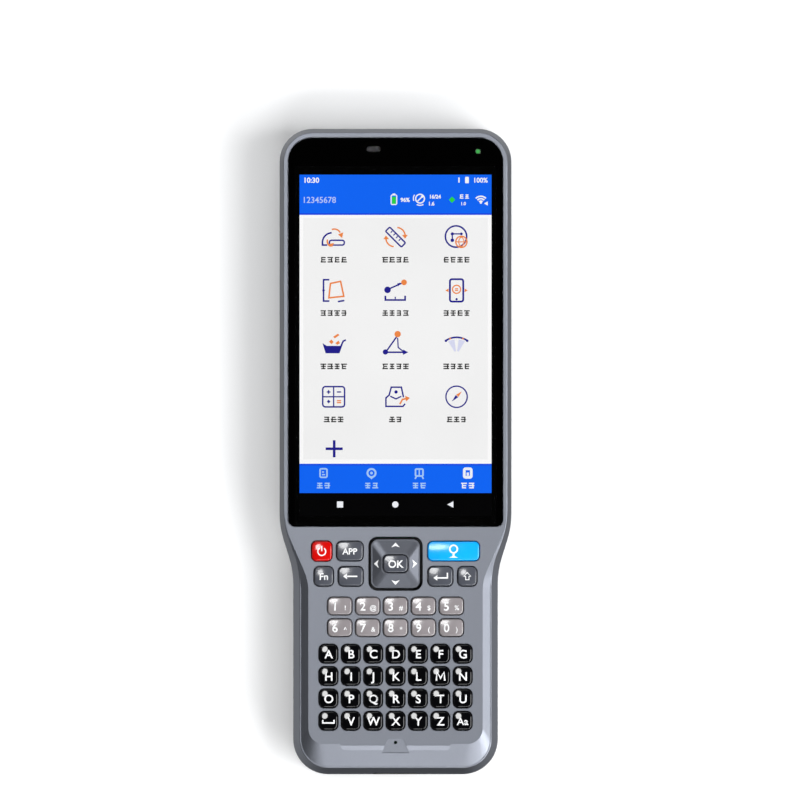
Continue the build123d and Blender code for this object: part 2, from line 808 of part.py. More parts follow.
# ------------------------------------------------------------------ rocker ring
with BuildPart() as dpad_ring:
    with BuildSketch(Plane.XY.offset(rocker_under_z)):
        with Locations((0, rocker_y)):
            RectangleRounded(*rocker_size, rocker_corner)
    extrude(amount=rocker_rim_z - rocker_under_z)
    rim = 2 * rocker_rim_width
    with BuildSketch(Plane.XY.offset(rocker_rim_z)):
        with Locations((0, rocker_y)):
            RectangleRounded(rocker_size[0] - rim, rocker_size[1] - rim, rocker_corner - rocker_rim_width)
    with BuildSketch(Plane.XY.offset(rocker_peak_z)):
        with Locations((0, rocker_y)):
            RectangleRounded(*rocker_peak_size, ok_corner + ok_gap)
    loft(ruled=True)
    with BuildSketch(Plane.XY.offset(rocker_under_z)):
        with Locations((0, rocker_y)):
            RectangleRounded(*ok_pocket_size, ok_corner)
    extrude(amount=ok_pocket_z - rocker_under_z, mode=Mode.SUBTRACT)
    with BuildSketch(Plane.XY.offset(rocker_under_z)):
        with Locations((0, rocker_y)):
            RectangleRounded(ok_size[0] + 2 * ok_gap, ok_size[1] + 2 * ok_gap, ok_corner + ok_gap)
    extrude(amount=rocker_peak_z - rocker_under_z, mode=Mode.SUBTRACT)
    with BuildSketch(Plane.XY.offset(rocker_under_z)):
        with Locations([(x, y + rocker_y) for x, y in rocker_feet]):
            Circle(rocker_foot_radius)
    extrude(amount=rocker_foot_z - rocker_under_z)
finish(dpad_ring.part, "dpad_ring")

# ------------------------------------------------------------------ rocker pivot
# Two ridges above carry the ring, and two below at right angles rest on the mat.
ridge_reach = pivot_size / 2 - pivot_ridge_length / 2
with BuildPart() as dpad_plunger:
    with BuildSketch(Plane.XY.offset(pivot_plate_under_z)):
        with Locations((0, rocker_y)):
            Rectangle(pivot_size, pivot_size)
            Rectangle(*pivot_window, mode=Mode.SUBTRACT)
    extrude(amount=pivot_plate_z - pivot_plate_under_z)
    for side in (-1, 1):
        with Locations((0, rocker_y + side * ridge_reach, pivot_plate_z)):
            Cylinder(pivot_ridge_radius, pivot_ridge_length, rotation=(90, 0, 0))
        with Locations((side * ridge_reach, rocker_y, pivot_plate_under_z)):
            Cylinder(pivot_ridge_radius, pivot_ridge_length, rotation=(0, 90, 0))
finish(dpad_plunger.part, "dpad_plunger")
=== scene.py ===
import math
import random

import bmesh
import bpy
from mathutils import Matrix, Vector
from mathutils.bvhtree import BVHTree


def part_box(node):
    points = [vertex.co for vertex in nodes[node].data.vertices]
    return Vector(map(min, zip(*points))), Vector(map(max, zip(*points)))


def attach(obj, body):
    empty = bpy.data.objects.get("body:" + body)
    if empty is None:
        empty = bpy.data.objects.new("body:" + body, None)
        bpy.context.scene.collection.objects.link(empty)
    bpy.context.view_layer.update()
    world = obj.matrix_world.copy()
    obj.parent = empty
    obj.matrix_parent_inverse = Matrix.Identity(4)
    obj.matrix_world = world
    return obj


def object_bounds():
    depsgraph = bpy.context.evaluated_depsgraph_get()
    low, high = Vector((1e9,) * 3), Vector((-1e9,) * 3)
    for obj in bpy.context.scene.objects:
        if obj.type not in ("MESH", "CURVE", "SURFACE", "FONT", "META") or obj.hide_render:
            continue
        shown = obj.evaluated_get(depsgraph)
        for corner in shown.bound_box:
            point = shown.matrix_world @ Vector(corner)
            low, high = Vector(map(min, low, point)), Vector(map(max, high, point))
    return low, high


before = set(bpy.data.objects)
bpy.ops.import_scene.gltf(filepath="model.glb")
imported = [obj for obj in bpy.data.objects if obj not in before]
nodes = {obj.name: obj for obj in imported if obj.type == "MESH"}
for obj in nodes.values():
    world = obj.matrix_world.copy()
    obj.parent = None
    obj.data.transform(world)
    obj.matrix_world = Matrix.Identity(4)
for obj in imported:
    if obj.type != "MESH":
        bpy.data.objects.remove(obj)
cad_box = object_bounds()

MM = 0.001
CASING = "casing"
LETTERS = "ABCDEFGHIJKLMNOPQRSTUVWXYZ"
DIGITS = "1234567890"


# ------------------------------------------------------------------ camera, lights and floor
VIEW_CENTRE = (1.6 * MM, 18.4 * MM)
VIEW_WIDTH = 285.4 * MM
VIEW_DISTANCE = 5.0
SENSOR_WIDTH = 36.0
FLOOR_SIZE = 12.0
FLOOR_GAP = 0.05 * MM
LIGHTS = (  # name, place, size, power and shape of each soft box
    ("key_right", (2.5, -0.5, 1.9), (2.0, 2.6), 112.0, "RECTANGLE"),
    ("low_front", (0.4, -2.3, 2.9), (2.4, 0.7), 46.0, "RECTANGLE"),
    ("back_wall", (-0.2, 2.9, 1.3), (2.4, 1.2), 22.0, "RECTANGLE"),
    ("top_left_glint", (-0.62, 0.60, 3.4), (0.95, 0.82), 36.0, "ELLIPSE"),
    ("corner_front_right", (2.2, -2.2, 1.9), (1.3, 1.0), 52.0, "RECTANGLE"),
)
# How bright the sky is by height, from the horizon at 0 to the zenith at 1.
SKY_LEVELS = ((0.0, 0.012), (0.06, 0.07), (0.2, 0.12), (0.6, 0.10), (0.86, 0.012))
BOUNCE_LEFT, BOUNCE_RIGHT, BOUNCE_TOP = 0.8, 0.5, 1.05


def make_camera():
    """A long lens straight above the screen, as the device lies on its back."""
    data = bpy.data.cameras.new("camera")
    data.sensor_width = SENSOR_WIDTH
    data.lens = SENSOR_WIDTH * VIEW_DISTANCE / VIEW_WIDTH
    data.clip_start = 0.05
    data.clip_end = 20.0
    camera = bpy.data.objects.new("camera", data)
    bpy.context.scene.collection.objects.link(camera)
    glass_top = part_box("touch_glass")[1][2]
    camera.location = (*VIEW_CENTRE, glass_top + VIEW_DISTANCE)
    bpy.context.scene.camera = camera


def make_light(name, place, size, power, shape):
    """A soft box that faces the device."""
    data = bpy.data.lights.new(name, "AREA")
    data.shape = shape
    data.size, data.size_y = size
    data.energy = power
    light = bpy.data.objects.new(name, data)
    bpy.context.scene.collection.objects.link(light)
    light.location = place
    light.rotation_euler = (-Vector(place)).to_track_quat("-Z", "Y").to_euler()


def set_stops(ramp, stops):
    """Gives a colour ramp node its stops, each a position and a colour."""
    elements = ramp.color_ramp.elements
    while len(elements) < len(stops):
        elements.new(0.5)
    for element, (position, color) in zip(elements, stops):
        element.position = position
        element.color = (*color, 1.0)


def make_surroundings():
    """A dim room: dark overhead, a faint band above the horizon, and pale bounce from below it."""
    world = bpy.data.worlds.new("studio")
    bpy.context.scene.world = world
    world.use_nodes = True
    tree = world.node_tree

    def math_node(operation, first, second):
        made = tree.nodes.new("ShaderNodeMath")
        made.operation = operation
        for socket, value in zip(made.inputs, (first, second)):
            if isinstance(value, (int, float)):
                socket.default_value = value
            else:
                tree.links.new(value, socket)
        return made.outputs["Value"]

    direction = tree.nodes.new("ShaderNodeTexCoord")
    split = tree.nodes.new("ShaderNodeSeparateXYZ")
    tree.links.new(direction.outputs["Generated"], split.inputs["Vector"])
    across, along, up = (split.outputs[axis] for axis in "XYZ")
    above = tree.nodes.new("ShaderNodeValToRGB")
    tree.links.new(up, above.inputs["Fac"])
    set_stops(above, [(height, (level, level, level)) for height, level in SKY_LEVELS])
    leftwards = math_node("MULTIPLY", across, -1.0)
    from_left = math_node("MULTIPLY", math_node("MAXIMUM", leftwards, 0.0), BOUNCE_LEFT)
    from_right = math_node("MULTIPLY", math_node("MAXIMUM", across, 0.0), BOUNCE_RIGHT)
    from_top = math_node("MULTIPLY", math_node("MAXIMUM", along, 0.0), BOUNCE_TOP)
    bounce = math_node("ADD", math_node("ADD", from_left, from_right), from_top)
    below = math_node("LESS_THAN", up, 0.0)
    level = math_node("ADD", math_node("MULTIPLY", bounce, below), above.outputs["Color"])
    tree.links.new(level, tree.nodes["Background"].inputs["Color"])


def make_studio():
    """Pale floor, dim surroundings and the soft boxes."""
    make_surroundings()
    for light in LIGHTS:
        make_light(*light)
    floor_z = cad_box[0][2] - FLOOR_GAP
    bpy.ops.mesh.primitive_plane_add(size=FLOOR_SIZE, location=(0, 0, floor_z))
    floor = bpy.context.object
    floor.name = "floor"
    floor.visible_glossy = False
    floor.visible_diffuse = False
    floor.data.materials.append(make_floor_material())


# ------------------------------------------------------------------ material helpers
class Shader:
    """A principled material with a few chained helpers."""

    def __init__(self, name):
        self.material = bpy.data.materials.new(name)
        self.material.use_nodes = True
        self.tree = self.material.node_tree
        self.shader = self.tree.nodes["Principled BSDF"]
        self.place = None

    def node(self, kind, **values):
        made = self.tree.nodes.new(kind)
        for name, value in values.items():
            made.inputs[name].default_value = value
        return made

    def link(self, output, target):
        self.tree.links.new(output, target)

    def set(self, **values):
        """Sets sockets of the shader by name, with underscores for spaces."""
        for name, value in values.items():
            self.shader.inputs[name.replace("_", " ")].default_value = value
        return self

    def coordinates(self):
        if self.place is None:
            self.place = self.node("ShaderNodeTexCoord").outputs["Object"]
        return self.place

    def noise(self, scale, detail=3.0, roughness=0.55):
        made = self.node("ShaderNodeTexNoise", Scale=scale, Detail=detail, Roughness=roughness)
        self.link(self.coordinates(), made.inputs["Vector"])
        return made.outputs["Fac"]

    def voronoi(self, scale, feature="F1"):
        made = self.node("ShaderNodeTexVoronoi", Scale=scale)
        made.feature = feature
        self.link(self.coordinates(), made.inputs["Vector"])
        return made.outputs["Distance"]

    def ramp(self, factor, stops):
        made = self.tree.nodes.new("ShaderNodeValToRGB")
        set_stops(made, stops)
        self.link(factor, made.inputs["Fac"])
        return made.outputs["Color"]

    def spread(self, factor, low, high):
        """The factor from 0 to 1 turned into a value from low to high."""
        made = self.node("ShaderNodeMapRange", **{"To Min": low, "To Max": high})
        self.link(factor, made.inputs["Value"])
        return made.outputs["Result"]

    def bump(self, heights, strength, distance):
        """Bumps stacked in order, each from a height output."""
        normal = None
        for height, share in heights:
            made = self.node("ShaderNodeBump", Strength=strength * share, Distance=distance)
            self.link(height, made.inputs["Height"])
            if normal is not None:
                self.link(normal, made.inputs["Normal"])
            normal = made.outputs["Normal"]
        self.link(normal, self.shader.inputs["Normal"])
        return self

    def color(self, output):
        self.link(output, self.shader.inputs["Base Color"])
        return self

    def rough(self, output):
        self.link(output, self.shader.inputs["Roughness"])
        return self


def shade(color, factor):
    return tuple(channel * factor for channel in color)


def make_floor_material():
    made = Shader("floor_paper").set(Roughness=0.9, Specular_IOR_Level=0.1)
    made.set(Emission_Color=(1.0, 1.0, 1.0, 1.0), Emission_Strength=0.08)
    made.color(made.ramp(made.noise(3.0), [(0.3, (0.86, 0.87, 0.88)), (0.7, (0.9, 0.905, 0.91))]))
    return made.material


def make_paint(name, color):
    """Satin metallic paint with a fine grain."""
    made = Shader(name).set(Metallic=0.85, Coat_Weight=0.08, Coat_Roughness=0.25)
    grain = made.noise(5200.0, 2.0)
    cloud = made.noise(38.0, 4.0)
    made.color(made.ramp(grain, [(0.3, shade(color, 0.93)), (0.7, shade(color, 1.07))]))
    made.rough(made.spread(cloud, 0.35, 0.42))
    made.bump([(grain, 1.0), (made.noise(900.0, 2.0), 0.4)], 0.10, 0.02 * MM)
    return made.material


def make_moulded(name, color, roughness, scale, strength):
    """Matt moulded plastic with a leather-like grain."""
    made = Shader(name).set(Specular_IOR_Level=0.4)
    cells = made.voronoi(scale)
    cloud = made.noise(scale / 18, 4.0)
    made.color(made.ramp(cloud, [(0.25, shade(color, 0.86)), (0.75, shade(color, 1.16))]))
    made.rough(made.spread(cloud, roughness - 0.05, roughness + 0.07))
    made.bump([(cells, 1.0), (made.noise(scale * 2.3, 2.0), 0.5)], strength, 0.05 * MM)
    return made.material


def make_gloss(name, color, roughness=0.13, coat=0.5, specular=0.5):
    """Glossy key plastic: a faint cloud in the colour, and fine handling marks."""
    made = Shader(name).set(Coat_Weight=coat, Coat_Roughness=0.04, Specular_IOR_Level=specular)
    cloud = made.noise(160.0, 3.0)
    marks = made.noise(2600.0, 3.0, 0.7)
    made.color(made.ramp(cloud, [(0.3, shade(color, 0.92)), (0.7, shade(color, 1.08))]))
    made.rough(made.spread(marks, roughness * 0.7, roughness * 1.4))
    made.bump([(marks, 1.0)], 0.02, 0.01 * MM)
    return made.material


def make_print(name, color, roughness=0.35, specular=0.4):
    """Legend ink: slightly uneven, a little rougher than the key."""
    made = Shader(name).set(Specular_IOR_Level=specular)
    speck = made.noise(3400.0, 2.0)
    made.color(made.ramp(speck, [(0.3, shade(color, 0.9)), (0.7, color)]))
    made.rough(made.spread(speck, roughness - 0.08, roughness + 0.1))
    return made.material


def make_metal(name, color, roughness):
    """Machined metal with fine turning marks."""
    made = Shader(name).set(Metallic=1.0)
    grain = made.noise(2400.0, 4.0)
    made.color(made.ramp(grain, [(0.3, shade(color, 0.8)), (0.7, color)]))
    made.rough(made.spread(grain, roughness * 0.8, roughness * 1.3))
    made.bump([(grain, 1.0)], 0.06, 0.01 * MM)
    return made.material


def make_glass():
    made = Shader("cover_glass_clear")
    made.set(Base_Color=(1, 1, 1, 1), Roughness=0.0, IOR=1.5, Transmission_Weight=1.0)
    return made.material


def make_lit(name, color, strength=1.08):
    """Part of the lit picture: its colour drifts very slightly, as a backlight's does."""
    made = Shader(name).set(Base_Color=(0.0, 0.0, 0.0, 1.0), Roughness=0.6, Specular_IOR_Level=0.0)
    drift = made.ramp(made.noise(26.0, 2.0), [(0.3, shade(color, 0.965)), (0.7, shade(color, 1.0))])
    made.link(drift, made.shader.inputs["Emission Color"])
    made.set(Emission_Strength=strength)
    return made.material


def make_board():
    """Solder mask over copper traces."""
    made = Shader("solder_mask").set(Coat_Weight=0.4, Coat_Roughness=0.15)
    traces = made.voronoi(520.0, "DISTANCE_TO_EDGE")
    made.color(made.ramp(traces, [(0.02, (0.04, 0.2, 0.1)), (0.09, (0.008, 0.075, 0.04))]))
    made.rough(made.spread(made.noise(900.0), 0.25, 0.45))
    made.bump([(traces, 1.0)], 0.15, 0.03 * MM)
    return made.material


PAINT = make_paint("housing_paint_grey", (0.184, 0.197, 0.229))
REAR = make_moulded("rear_shell_grain", (0.030, 0.031, 0.036), 0.55, 1500.0, 0.22)
SILICONE = make_moulded("silicone_matt", (0.02, 0.02, 0.022), 0.62, 2600.0, 0.1)
RUBBER = make_moulded("cover_rubber", (0.016, 0.016, 0.018), 0.6, 2000.0, 0.18)
WRAP = make_moulded("battery_film", (0.035, 0.036, 0.042), 0.4, 700.0, 0.05)
GLASS = make_glass()
BOARD = make_board()
STEEL = make_metal("screw_steel_turned", (0.42, 0.42, 0.44), 0.3)
NICKEL = make_metal("socket_nickel", (0.62, 0.61, 0.6), 0.22)
KEY_BLACK = make_gloss("key_black_gloss", (0.0015, 0.0015, 0.002), 0.1, 0.8, 0.1)
KEY_GREY = make_gloss("key_grey_gloss", (0.062, 0.067, 0.083), 0.22, 0.35, 0.5)
KEY_WARM = make_gloss("key_warm_grey_gloss", (0.235, 0.215, 0.223), 0.2, 0.35, 0.5)
KEY_RED = make_gloss("key_red_gloss", (0.55, 0.003, 0.002), 0.14, 0.35, 0.4)
KEY_BLUE = make_gloss("key_blue_gloss", (0.003, 0.36, 0.90), 0.2, 0.15, 0.5)
ROCKER = make_paint("rocker_satin", (0.105, 0.112, 0.132))
INK_WHITE = make_print("ink_white", (0.82, 0.83, 0.84))
BORDER = make_print("border_print_black", (0.0006, 0.0006, 0.0007), 0.5, 0.0)
CELL = make_gloss("display_cell_black", (0.002, 0.002, 0.003), 0.2, 0.0, 0.3)


# ------------------------------------------------------------------ carried-over CAD nodes
SHARP_ANGLE = math.radians(26.0)


def dress(name, material):
    """Gives a CAD node its material and smooth shading with crisp edges."""
    piece = nodes[name]
    piece.data.materials.clear()
    piece.data.materials.append(material)
    piece.data.shade_smooth()
    piece.data.set_sharp_from_angle(angle=SHARP_ANGLE)
    normals = piece.modifiers.new("flat_faces_stay_flat", "WEIGHTED_NORMAL")
    normals.keep_sharp = True


def dress_all():
    looks = {
        "front_housing": PAINT,
        "rear_housing": REAR,
        "touch_glass": GLASS,
        "camera_window": GLASS,
        "display_module": CELL,
        "main_board": BOARD,
        "keypad_board": BOARD,
        "keypad_mat": SILICONE,
        "dpad_plunger": SILICONE,
        "battery_pack": WRAP,
        "housing_seal": SILICONE,
        "housing_screws": STEEL,
        "port_cover": RUBBER,
        "dpad_ring": ROCKER,
        "power_key": KEY_RED,
        "measure_key": KEY_BLUE,
        "space_key": KEY_BLACK,
        "case_key": KEY_BLACK,
    }
    for name in ("app_key", "fn_key", "backspace_key", "enter_key", "shift_key", "ok_key"):
        looks[name] = KEY_GREY
    for digit in DIGITS:
        looks[f"number_key_{digit}"] = KEY_WARM
    for letter in LETTERS:
        looks[f"letter_key_{letter.lower()}"] = KEY_BLACK
    for name, material in looks.items():
        dress(name, material)
    dress_socket()


SOCKET_DROP = 2.8 * MM  # from the main board's top down to the socket's shell


def dress_socket():
    """The port's shell on the keypad board is bare metal."""
    board = nodes["keypad_board"]
    board.data.materials.append(NICKEL)
    shell_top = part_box("main_board")[1][2] - SOCKET_DROP
    for face in board.data.polygons:
        if face.center.z < shell_top:
            face.material_index = 1


# ------------------------------------------------------------------ flat drawing
class Drawing:
    """Flat shapes that become one thin closed piece. Sizes are in the caller's units."""

    def __init__(self, unit=MM):
        self.unit = unit
        self.mesh = bmesh.new()

    def vertices(self, points):
        return [self.mesh.verts.new((x * self.unit, y * self.unit, 0)) for x, y in points]

    def polygon(self, points):
        """A filled outline, in either direction."""
        self.mesh.faces.new(self.vertices(points))
        return self

    def rectangle(self, x, y, width, height, corner=0.0, steps=5):
        """A rectangle about its middle, with rounded corners if corner is given."""
        if corner <= 0:
            half_w, half_h = width / 2, height / 2
            ends = [(-half_w, -half_h), (half_w, -half_h), (half_w, half_h), (-half_w, half_h)]
            return self.polygon([(x + dx, y + dy) for dx, dy in ends])
        return self.polygon(rounded(x, y, width, height, corner, steps))

    def disc(self, x, y, radius, steps=28):
        return self.polygon(arc(x, y, radius, 0, 360, steps)[:-1])

    def stroke(self, points, width, closed=False):
        """A line of even width with mitred corners."""
        count = len(points)
        left, right = [], []
        for i, (x, y) in enumerate(points):
            before = points[i - 1] if closed or i > 0 else None
            after = points[(i + 1) % count] if closed or i < count - 1 else None
            nx, ny = corner_normal(before, (x, y), after)
            left.append((x + nx * width / 2, y + ny * width / 2))
            right.append((x - nx * width / 2, y - ny * width / 2))
        left, right = self.vertices(left), self.vertices(right)
        for i in range(count if closed else count - 1):
            j = (i + 1) % count
            self.mesh.faces.new((right[i], right[j], left[j], left[i]))
        return self

    def ring(self, x, y, radius, width, steps=36):
        return self.stroke(arc(x, y, radius, 0, 360, steps)[:-1], width, closed=True)

    def text(self, words, x, y, height, weight=0.0, align="CENTER"):
        """Plain sans letters, with the height of a capital given."""
        curve = bpy.data.curves.new("words", "FONT")
        curve.body = words
        curve.size = height / CAPITAL_SHARE
        curve.offset = weight
        curve.align_x = align
        curve.resolution_u = 4
        holder = bpy.data.objects.new("words", curve)
        flat = bpy.data.meshes.new_from_object(holder)
        made = bmesh.new()
        made.from_mesh(flat)
        bmesh.ops.remove_doubles(made, verts=made.verts, dist=1e-5)
        for vertex in made.verts:
            over, up = vertex.co.x + x, vertex.co.y + y - height / 2
            vertex.co = (over * self.unit, up * self.unit, 0)
        made.to_mesh(flat)
        self.mesh.from_mesh(flat)
        made.free()
        bpy.data.objects.remove(holder)
        bpy.data.curves.remove(curve)
        bpy.data.meshes.remove(flat)
        return self

    def moved(self, x, y):
        """Shifts everything drawn so far."""
        shift = (x * self.unit, y * self.unit, 0)
        bmesh.ops.translate(self.mesh, verts=self.mesh.verts, vec=shift)
        return self

    def grid(self, pitch):
        """Cuts the shapes along a grid, so that they can follow a curved surface."""
        for axis in (0, 1):
            places = [vertex.co[axis] for vertex in self.mesh.verts]
            line = (math.floor(min(places) / pitch) + 1) * pitch
            while line < max(places):
                point, normal = [0, 0, 0], [0, 0, 0]
                point[axis], normal[axis] = line, 1
                everything = self.mesh.verts[:] + self.mesh.edges[:] + self.mesh.faces[:]
                bmesh.ops.bisect_plane(
                    self.mesh, geom=everything, dist=1e-8, plane_co=point, plane_no=normal)
                line += pitch
        return self

    def raised(self, name, material, body, slot, low, high, surface=None):
        """Makes the piece, from low to high above z = 0 or a surface, never over the CAD box."""
        bmesh.ops.recalc_face_normals(self.mesh, faces=self.mesh.faces)
        for face in self.mesh.faces:
            if face.normal.z < 0:
                face.normal_flip()
        base = self.mesh.verts[:]
        grown = bmesh.ops.extrude_face_region(self.mesh, geom=self.mesh.faces[:])["geom"]
        top = [item for item in grown if isinstance(item, bmesh.types.BMVert)]
        for group, level in ((base, low), (top, high)):
            for vertex in group:
                ground = surface(vertex.co.x, vertex.co.y) if surface else 0.0
                vertex.co.z = min(ground + level, cad_box[1][2])
        bmesh.ops.recalc_face_normals(self.mesh, faces=self.mesh.faces)
        data = bpy.data.meshes.new(name)
        self.mesh.to_mesh(data)
        self.mesh.free()
        data.materials.append(material)
        piece = bpy.data.objects.new(name, data)
        bpy.context.scene.collection.objects.link(piece)
        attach(piece, body)


CAPITAL_SHARE = 0.729  # a capital's height as a share of the built-in font's size
MITRE_LIMIT = 0.3  # the least squared length of a mean normal, which keeps sharp corners short


def arc(x, y, radius, start, end, steps=16):
    """Points along an arc, in degrees anticlockwise."""
    angles = [math.radians(start + (end - start) * i / steps) for i in range(steps + 1)]
    return [(x + radius * math.cos(a), y + radius * math.sin(a)) for a in angles]


def rounded(x, y, width, height, corner, steps=5, foot_corner=None):
    """Points of a rounded rectangle about its middle. foot_corner is for the two at its foot."""
    points = []
    for index, (sx, sy) in enumerate(((1, 1), (-1, 1), (-1, -1), (1, -1))):
        radius = corner if sy > 0 or foot_corner is None else foot_corner
        middle = (x + sx * (width / 2 - radius), y + sy * (height / 2 - radius))
        points += arc(*middle, radius, 90 * index, 90 * index + 90, steps)
    return points


def corner_normal(before, here, after):
    """The mitred normal at a point between its neighbours, one of which may be missing."""
    normals = []
    for a, b in ((before, here), (here, after)):
        if a is not None and b is not None:
            length = math.hypot(b[0] - a[0], b[1] - a[1])
            normals.append((-(b[1] - a[1]) / length, (b[0] - a[0]) / length))
    nx = sum(n[0] for n in normals) / len(normals)
    ny = sum(n[1] for n in normals) / len(normals)
    square = max(nx * nx + ny * ny, MITRE_LIMIT)
    return nx / square, ny / square


# ------------------------------------------------------------------ key legends
LEGEND_GRID = 0.45 * MM
INK_SUNK = -0.015 * MM
INK_PROUD = 0.02 * MM
RAY_START = 5 * MM  # above a node's highest point
LETTER_HEIGHT = 3.1
LETTER_WEIGHT = 0.075
LETTER_PLACE = (0.1, -0.05)
DIGIT_PLACE = (-1.75, 0.0)
SIGN_PLACE = (1.95, -0.55)
SIGN_HEIGHT = 1.75
SIGN_WEIGHT = 0.03
LINE_WIDTH = 0.5
WORD_LEGENDS = (  # key, word, height of its middle, capital's height and weight
    ("app_key", "APP", 0.0, 2.25, 0.06),
    ("fn_key", "Fn", 0.0, 2.5, 0.06),
    ("ok_key", "OK", 0.0, 2.7, 0.08),
    ("case_key", "Aa", -0.1, 2.7, 0.06),
)
# The M is drawn as a line, because its counters would close up as heavy text.
M_STROKE = ((-1.4, -1.6), (-1.15, 1.45), (0.1, -0.75), (1.35, 1.45), (1.6, -1.6))
M_WIDTH = 0.6


def middle_of(name):
    low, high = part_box(name)
    return ((low[0] + high[0]) / 2 / MM, (low[1] + high[1]) / 2 / MM)


def top_of(name):
    """A function that gives the height of a node's top surface at a place."""
    data = nodes[name].data
    faces = [face.vertices[:] for face in data.polygons]
    tree = BVHTree.FromPolygons([vertex.co for vertex in data.vertices], faces)
    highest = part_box(name)[1][2]

    def height(x, y):
        hit = tree.ray_cast(Vector((x, y, highest + RAY_START)), Vector((0, 0, -1)))[0]
        return hit.z if hit else highest

    return height


def put_legend(drawing, key, material=INK_WHITE):
    """Lays a legend, drawn about the key's middle, on the key's crowned top."""
    drawing.moved(*middle_of(key)).grid(LEGEND_GRID)
    drawing.raised(f"{key}_legend", material, key, None, INK_SUNK, INK_PROUD, top_of(key))


def letter_legends():
    for letter in LETTERS:
        if letter == "M":
            drawing = Drawing().stroke(M_STROKE, M_WIDTH)
        else:
            drawing = Drawing().text(letter, *LETTER_PLACE, LETTER_HEIGHT, LETTER_WEIGHT)
        put_legend(drawing, f"letter_key_{letter.lower()}")


def number_legends():
    second = dict(zip(DIGITS, "!@#$%^&*()"))
    for digit in DIGITS:
        drawing = Drawing().text(digit, *DIGIT_PLACE, LETTER_HEIGHT, LETTER_WEIGHT)
        drawing.text(second[digit], *SIGN_PLACE, SIGN_HEIGHT, SIGN_WEIGHT)
        put_legend(drawing, f"number_key_{digit}")


def command_legends():
    for key, word, y, height, weight in WORD_LEGENDS:
        put_legend(Drawing().text(word, 0, y, height, weight), key)

    power = Drawing().stroke(arc(0, -0.15, 1.4, 125, 415, 28), 0.42)
    power.rectangle(0, 0.95, 0.42, 1.9)
    put_legend(power, "power_key")

    back = Drawing().stroke([(-1.6, 0), (2.4, 0)], LINE_WIDTH)
    back.polygon([(-2.7, 0), (-1.3, -1.05), (-1.3, 1.05)])
    put_legend(back, "backspace_key")

    enter = Drawing().stroke([(2.5, 1.3), (2.5, -0.55), (-1.3, -0.55)], LINE_WIDTH)
    enter.polygon([(-2.5, -0.55), (-1.1, -1.55), (-1.1, 0.45)])
    put_legend(enter, "enter_key")

    outline = [(0, 1.35), (1.3, 0), (0.6, 0), (0.6, -1.2), (-0.6, -1.2), (-0.6, 0), (-1.3, 0)]
    put_legend(Drawing().stroke(outline, 0.28, True), "shift_key")

    tray = [(-2.0, 0.35), (-2.0, -0.75), (2.0, -0.75), (2.0, 0.35)]
    put_legend(Drawing().stroke(tray, LINE_WIDTH), "space_key")

    point = Drawing().ring(0, 0.75, 1.35, 0.55)
    foot = [(-0.35, -1.75), (-1.6, -2.35), (1.6, -2.35), (0.35, -1.75)]
    point.polygon([(-0.35, -0.75)] + foot + [(0.35, -0.75)])
    put_legend(point, "measure_key")


def rocker_legends():
    """Four arrowheads on the ring's facets."""
    reach_x, reach_y = 6.75, 6.6
    arrowhead = ((-0.75, -1.5), (0.95, 0), (-0.75, 1.5), (-0.25, 0))  # along and across its way
    arrows = Drawing()
    for way in (1, -1):
        arrows.polygon([(across, way * (reach_y + along)) for along, across in arrowhead])
    for way in (1, -1):
        arrows.polygon([(way * (reach_x + along), across) for along, across in arrowhead])
    put_legend(arrows, "dpad_ring")


# ------------------------------------------------------------------ glass print and the lit picture
SCREEN_WIDTH = 68.5 * MM
SCREEN_HEIGHT = 121.8 * MM
SCREEN_UNITS, SCREEN_ROWS = 360.0, 640.0  # the grid that the picture is drawn on
UNIT = SCREEN_WIDTH / SCREEN_UNITS
SCREEN_TOP = 98.8 * MM
LAYER = 0.04 * MM
LAYER_START, LAYER_FILL = 0.25, 0.9  # where the first layer starts, and how full each one is
PICTURE_BOLD = 1.2  # how much heavier the picture's lines are drawn

NAVY = (0.018, 0.016, 0.27)
ORANGE = (0.9, 0.26, 0.07)
BLUE = (0.006, 0.134, 0.93)


def layer(number):
    """The bottom of a layer of the picture, counted up from the display's face."""
    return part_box("display_module")[1][2] + (number + LAYER_START) * LAYER


class Picture(Drawing):
    """A drawing in screen units, from the screen's top left corner, with y downwards."""

    def __init__(self):
        super().__init__(UNIT)

    def show(self, name, material, number):
        bmesh.ops.scale(self.mesh, verts=self.mesh.verts, vec=(1, -1, 1))
        corner = (-SCREEN_WIDTH / 2, SCREEN_TOP, 0)
        bmesh.ops.translate(self.mesh, verts=self.mesh.verts, vec=corner)
        low = layer(number)
        self.raised(name, material, CASING, "display", low, low + LAYER * LAYER_FILL)

    def stroke(self, points, width, closed=False):
        return super().stroke(points, width * PICTURE_BOLD, closed)

    def box(self, left, top, right, bottom):
        return self.rectangle((left + right) / 2, (top + bottom) / 2, right - left, bottom - top)

    def words(self, words, x, y, height, weight=0.0, align="CENTER"):
        """Text that reads the right way up after show has turned the picture over."""
        start = len(self.mesh.verts)
        self.text(words, x, -y, height, weight, align)
        self.mesh.verts.ensure_lookup_table()
        for vertex in self.mesh.verts[start:]:
            vertex.co.y = -vertex.co.y
        return self


def greeked(picture, rng, x, y, count, size=11.4, gap=1.5):
    """A word's worth of stand-in marks: short bars that read as small print, and say nothing."""
    bar, row_pitch, join = size * 0.2, size * 0.36, size * 0.16
    for index in range(count):
        middle = x + (index - (count - 1) / 2) * (size + gap)
        for row in (-1, 0, 1):
            width = size * rng.uniform(0.65, 1.0)
            picture.rectangle(middle, y + row * row_pitch, width, bar)
        stem = middle + size * (rng.choice((0.25, 0.5, 0.72)) - 0.5)
        for side in (-1, 1):
            picture.rectangle(stem, y + side * row_pitch / 2, bar, join)


